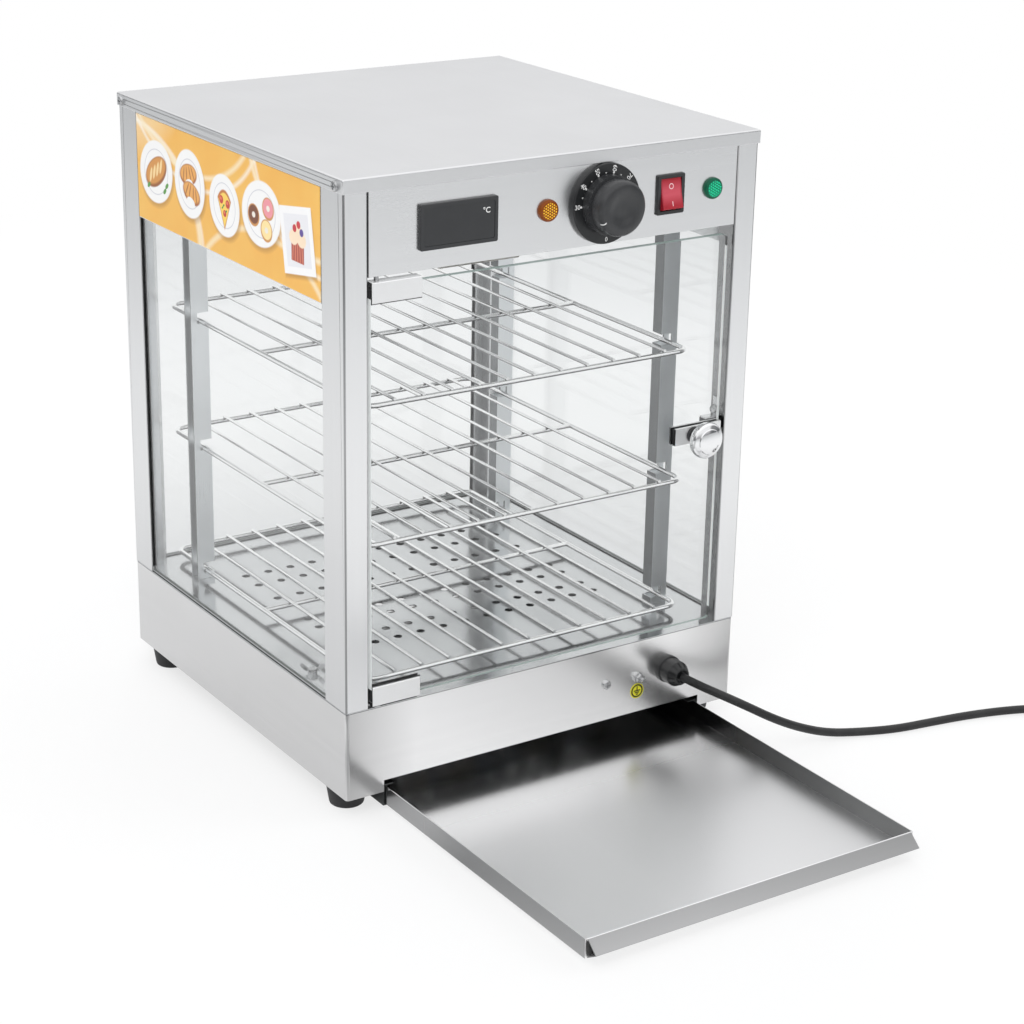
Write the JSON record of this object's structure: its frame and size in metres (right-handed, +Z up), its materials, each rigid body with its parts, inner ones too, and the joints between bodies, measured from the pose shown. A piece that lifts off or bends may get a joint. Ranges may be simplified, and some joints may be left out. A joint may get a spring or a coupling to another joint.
{
  "type": "plate warmer cabinet",
  "caption": "Countertop plate and food warmer: glazed steel case with wire shelves, hinged glass door, thermostat panel, pull-out drip tray and supply cord.",
  "frame": {"origin": "on the floor, under the centre of the case", "axes": "+Z up, +Y from the control panel and door to the rear, +X to the right as seen from the front"},
  "size_m": [0.7789, 0.6487, 0.5],
  "materials": {
    "case_steel": "fine brushed stainless sheet",
    "tray_steel": "satin stainless sheet",
    "deck_steel": "bright, softly reflecting stainless sheet",
    "wire_chrome": "bright plated wire",
    "bright_chrome": "polished",
    "clamp_metal": "polished plate",
    "zinc": "zinc plated",
    "brass": "plain",
    "glass": "clear float glass with greenish edges",
    "black_rubber": "matte",
    "black_plastic": "semi-gloss moulded",
    "display_black": "gloss dark window",
    "amber_lens": "translucent faceted lens",
    "green_lens": "translucent faceted lens",
    "red_plastic": "translucent rocker",
    "yellow_label": "printed label",
    "orange_film": "printed film",
    "ceramic_white": "plain insulating body",
    "magnet_grey": "light grey magnet case"
  },
  "bodies": {
    "cabinet": {"rubber_feet": "black_rubber", "foot_screws": "zinc", "base_shell": "case_steel", "deck_plate": "deck_steel", "wing_nuts": "zinc", "earth_stud": "zinc", "earth_label": "yellow_label", "cable_gland": "black_plastic", "gland_nut": "black_plastic", "tray_runners": "case_steel", "post_front_right": "case_steel", "post_front_left": "case_steel", "post_rear_right": "case_steel", "post_rear_left": "case_steel", "control_panel": "case_steel", "ceiling_plate": "case_steel", "header_right": "case_steel", "header_left": "case_steel", "header_back": "case_steel", "header_prints": "orange_film", "roof_cover": "case_steel", "case_screws": "zinc", "glass_right": "glass", "glass_left": "glass", "glass_back": "glass", "glass_gaskets": "black_rubber", "uprights_right": "case_steel", "uprights_left": "case_steel", "hinge_washer": "zinc", "catch_bracket": "case_steel", "catch_magnet": "magnet_grey", "display_bezel": "black_plastic", "display_window": "display_black", "amber_lamp": "amber_lens", "green_lamp": "green_lens", "dial_scale": "black_plastic", "thermostat_body": "ceramic_white", "thermostat_bulb": "brass", "rocker_housing": "black_plastic", "heating_element": "case_steel", "element_hangers": "case_steel", "terminal_block": "ceramic_white", "power_cord": "black_rubber", "cord_coil": "black_rubber", "mains_plug": "black_rubber"},
    "door": {"door_glass": "glass", "door_clamp_top": "clamp_metal", "door_clamp_bottom": "clamp_metal", "door_liners": "black_rubber", "clamp_screws": "zinc", "hinge_pins": "zinc", "knob_clip": "clamp_metal", "door_knob": "bright_chrome"},
    "tray": {"drip_tray": "tray_steel"},
    "top_shelf": {"shelf_top": "wire_chrome"},
    "middle_shelf": {"shelf_middle": "wire_chrome"},
    "bottom_shelf": {"shelf_bottom": "wire_chrome"},
    "thermostat_control": {"thermostat_knob": "black_plastic", "thermostat_shaft": "zinc"},
    "rocker": {"power_rocker": "red_plastic"}
  },
  "joints": [
    {"name": "door_hinge", "type": "hinge", "parent": "cabinet", "child": "door", "pos_m": [-0.1567, -0.1815, 0.25], "axis": [0, 0, -1], "range_deg": [0, 110]},
    {"name": "tray_slide", "type": "slide", "parent": "cabinet", "child": "tray", "axis": [0, 1, 0], "range_m": [-0.03, 0.266]},
    {"name": "top_shelf_slide", "type": "slide", "parent": "cabinet", "child": "top_shelf", "axis": [0, -1, 0], "range_m": [-0.003, 0.02]},
    {"name": "middle_shelf_slide", "type": "slide", "parent": "cabinet", "child": "middle_shelf", "axis": [0, -1, 0], "range_m": [-0.003, 0.02]},
    {"name": "bottom_shelf_slide", "type": "slide", "parent": "cabinet", "child": "bottom_shelf", "axis": [0, -1, 0], "range_m": [-0.003, 0.02]},
    {"name": "thermostat_turn", "type": "hinge", "parent": "cabinet", "child": "thermostat_control", "pos_m": [0.039, -0.1845, 0.4585], "axis": [0, 1, 0], "range_deg": [0, 270]},
    {"name": "rocker_tilt", "type": "hinge", "parent": "cabinet", "child": "rocker", "pos_m": [0.1005, -0.1835, 0.4585], "axis": [1, 0, 0], "range_deg": [0, 24]}
  ]
}
